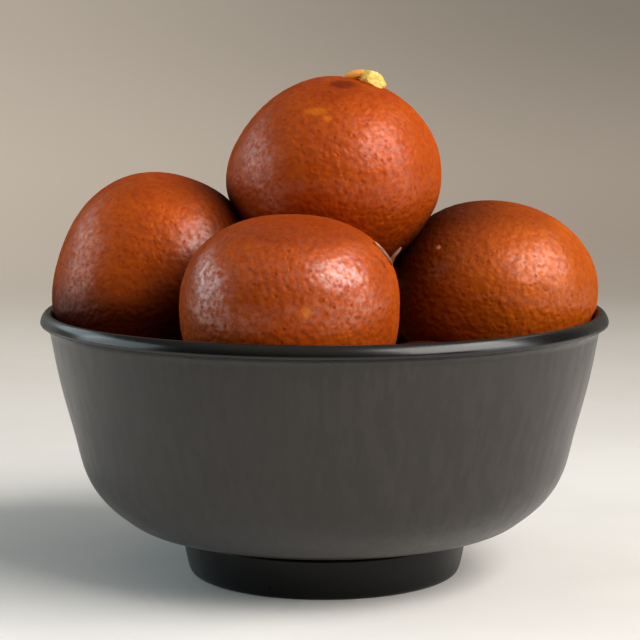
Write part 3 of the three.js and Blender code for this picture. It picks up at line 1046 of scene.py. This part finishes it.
class SetStage(bpy.types.Operator):
    """Lay the pale floor and backdrop, set the soft lights and place the camera"""

    bl_idname = "jamun.set_stage"
    bl_label = "Stage"

    SWEEP_FRONT, SWEEP_TURN, SWEEP_TOP, SWEEP_SIDE = -1500.0, 500.0, 1800.0, 3000.0
    SWEEP_BEND, SWEEP_STEPS = 400.0, 32
    CLOUD_TINT = 0.94  # the floor's clouds against its colour
    SHADE_TINT = 0.52  # the shaded right end of the backdrop against its colour
    DUSK, SHADED_DUSK = 0.14, 0.25  # how dark the top is, and how much darker at the right
    FILL_SIDE = (0.1, -0.25, 0.963)
    FILL_COLOUR = (1.0, 0.97, 0.92, 1.0)
    FILL_FROM, FILL_LEAST = 0.4, 0.01
    CAMERA_PLACE = (-0.91, -440.0, 106.96)
    CAMERA_PITCH = 82.816  # degrees up from straight down
    CAMERA_NEAREST = 10.0
    LENS, SENSOR = 122.34, 36.0
    LIGHT_TARGET = (0, 0, 55)
    # Name, place, width and height in millimetres, share of the power of its side, colour.
    LIGHTS = [
        ("key_light", (1044, -603, 1002), (1400, 1060), 1.0, (1.0, 0.97, 0.93)),
        ("low_light", (947, -271, 229), (500, 350), 0.04, (1.0, 0.97, 0.93)),
        ("high_light", (690, 120, 780), (950, 160), 0.02, (1.0, 0.97, 0.93)),
        ("left_light", (-863, 30, 303), (640, 520), 1.0, (0.8, 0.93, 1.0)),
        ("edge_light", (-697, 436, 421), (600, 330), 0.45, (0.75, 0.92, 1.0)),
    ]

    def execute(self, context):
        settings = context.scene.jamun_stage
        self.sweep(settings)
        for name, place, size, share, colour in self.LIGHTS:
            power = share * (settings.side_power if place[0] < 0 else settings.key_power)
            self.light(name, place, size, power, colour)
        self.fill(context, settings.fill_strength)
        self.camera(context)
        context.scene.view_settings.view_transform = "Standard"
        return {"FINISHED"}

    def sweep(self, settings):
        """A floor that curves up into the backdrop; it throws no light back on to the bowl."""
        bend, turn = self.SWEEP_BEND, self.SWEEP_TURN
        line = [(self.SWEEP_FRONT, 0.0), (turn, 0.0)]
        line += [(turn + bend * math.sin(a), bend - bend * math.cos(a))
                 for a in np.linspace(0, math.pi / 2, self.SWEEP_STEPS + 1)[1:]]
        line += [(turn + bend, self.SWEEP_TOP)]
        points = [(x, y, z) for y, z in line for x in (-self.SWEEP_SIDE, self.SWEEP_SIDE)]
        faces = [(2 * i, 2 * i + 1, 2 * i + 3, 2 * i + 2) for i in range(len(line) - 1)]
        material, g, shader = new_material("floor_paint")
        place = g.place()
        parts = g.parts(place)
        grain = g.noise(place, *NOISES["floor_grain"])
        cloud = g.ramp(g.noise(place, *NOISES["floor_cloud"]), "floor_cloud")
        # Painted shade: the floor darkens into the warmer grey backdrop further back, and the
        # backdrop darkens towards its right end and its top.
        back = g.plus(parts["Y"], parts["Z"])
        shade = g.ramp(parts["X"], "shade")
        floor = g.mix(cloud, rgba(settings.floor_colour),
                      rgba(settings.floor_colour, self.CLOUD_TINT))
        wall = g.mix(shade, rgba(settings.wall_colour), rgba(settings.wall_colour, self.SHADE_TINT))
        dusk = g.plus(g.times(shade, self.SHADED_DUSK), self.DUSK)
        wall = g.mix(g.times(g.ramp(back, "dusk"), dusk), wall, BLACK)
        g.feed(shader, "Base Color", g.mix(g.ramp(back, "backdrop"), floor, wall))
        g.feed(shader, "Roughness", g.ramp(grain, "floor_roughness"))
        g.feed(shader, "Normal", g.bump(grain, "floor"))
        stage = new_object("floor_sweep", points, faces, [material])
        stage.visible_diffuse = False

    def light(self, name, place, size, power, colour):
        """A soft rectangular light, out of the camera's sight and turned to the heap."""
        lamp = bpy.data.lights.new(name, "AREA")
        lamp.shape = "RECTANGLE"
        lamp.size, lamp.size_y = (side * MM for side in size)
        lamp.energy = power
        lamp.color = colour
        thing = placed_object(name, lamp)
        thing.location = Vector(place) * MM
        toward = Vector(self.LIGHT_TARGET) - Vector(place)
        thing.rotation_euler = toward.to_track_quat("-Z", "Y").to_euler()
        thing.visible_camera = False

    def fill(self, context, strength):
        """Wide soft light from the upper front, as from a white ceiling."""
        world = bpy.data.worlds.new("soft_room")
        world.use_nodes = True
        g = Graph(world.node_tree)
        background = world.node_tree.nodes["Background"]
        background.inputs["Color"].default_value = self.FILL_COLOUR
        sky = g.add("ShaderNodeTexCoord").outputs["Generated"]
        toward = g.vector("DOT_PRODUCT", sky, self.FILL_SIDE)
        g.feed(background, "Strength",
               g.spread(toward, self.FILL_FROM, 1.0, self.FILL_LEAST, strength))
        context.scene.world = world

    def camera(self, context):
        """A long lens in front of the heap, looking slightly down on it."""
        lens = bpy.data.cameras.new("view_camera")
        lens.sensor_width = self.SENSOR
        lens.lens = self.LENS
        lens.clip_start = self.CAMERA_NEAREST * MM
        camera = placed_object("view_camera", lens)
        camera.location = Vector(self.CAMERA_PLACE) * MM
        camera.rotation_euler = (math.radians(self.CAMERA_PITCH), 0, 0)
        context.scene.camera = camera


class JamunPanel(bpy.types.Panel):
    """Lists the steps that make the bowl of gulab jamun"""

    bl_idname = "VIEW3D_PT_gulab_jamun"
    bl_label = "Gulab jamun"
    bl_space_type = "VIEW_3D"
    bl_region_type = "UI"
    bl_category = "Gulab jamun"

    def draw(self, context):
        for step, name in zip(STEPS, SETTINGS):
            settings = getattr(context.scene, name)
            box = self.layout.box()
            box.operator(step.bl_idname)
            for value in settings.__annotations__:
                box.prop(settings, value)


STEPS = (BuildBowl, BuildDumplings, BuildNuts, SetStage)
SETTINGS = {
    "jamun_bowl": BowlSettings,
    "jamun_dumplings": DumplingSettings,
    "jamun_nuts": NutSettings,
    "jamun_stage": StageSettings,
}


def register():
    for cls in (*SETTINGS.values(), *STEPS, JamunPanel):
        bpy.utils.register_class(cls)
    for name, cls in SETTINGS.items():
        setattr(bpy.types.Scene, name, PointerProperty(type=cls))


def unregister():
    for name in SETTINGS:
        delattr(bpy.types.Scene, name)
    for cls in (JamunPanel, *reversed(STEPS), *reversed(SETTINGS.values())):
        bpy.utils.unregister_class(cls)


def main():
    register()
    bpy.ops.jamun.build_bowl()
    bpy.ops.jamun.build_dumplings()
    bpy.ops.jamun.build_nuts()
    bpy.ops.jamun.set_stage()
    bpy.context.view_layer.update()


if __name__ == "__main__":
    main()
